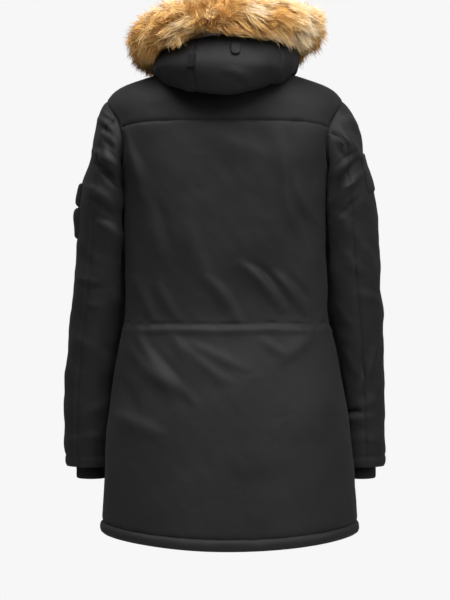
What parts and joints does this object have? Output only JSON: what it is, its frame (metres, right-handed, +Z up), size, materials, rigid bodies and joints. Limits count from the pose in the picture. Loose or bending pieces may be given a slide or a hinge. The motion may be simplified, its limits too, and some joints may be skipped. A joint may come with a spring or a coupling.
{
  "type": "hooded parka with fur-trimmed hood, worn",
  "caption": "Black padded thigh-length hooded parka, worn and hollow, with the hood lying down the back and a thick band of golden-tan fur on its rim.",
  "frame": {"origin": "middle of the neck opening, level with the neck seam, where the wearer's neck and shoulders carry the coat", "axes": "+Z up, the coat's front faces -Y, the wearer's left is +X"},
  "size_m": [0.5867, 0.3574, 0.9521],
  "materials": {
    "shell_cloth": "matt black tightly woven padded shell cloth with a faint sheen",
    "rib_knit": "black ribbed knit",
    "long_fur": "long golden-tan imitation fur with brown tips",
    "snap_metal": "dark lacquered press studs"
  },
  "bodies": {
    "root": {"back_yoke": "shell_cloth", "back_panel": "shell_cloth", "front_left": "shell_cloth", "front_right": "shell_cloth", "storm_flap": "shell_cloth", "collar": "shell_cloth", "hood_left": "shell_cloth", "hood_centre": "shell_cloth", "hood_right": "shell_cloth", "hood_tab": "shell_cloth", "hood_loop": "shell_cloth", "hem_band": "shell_cloth", "upper_sleeve_left": "shell_cloth", "under_sleeve_left": "shell_cloth", "upper_sleeve_right": "shell_cloth", "under_sleeve_right": "shell_cloth", "pocket_bag": "shell_cloth", "pocket_flap": "shell_cloth", "sleeve_patch": "shell_cloth", "cuff_left": "rib_knit", "cuff_right": "rib_knit", "fur_trim": "long_fur", "snap_1": "snap_metal", "snap_2": "snap_metal", "snap_3": "snap_metal", "snap_4": "snap_metal", "snap_5": "snap_metal"}
  },
  "joints": []
}
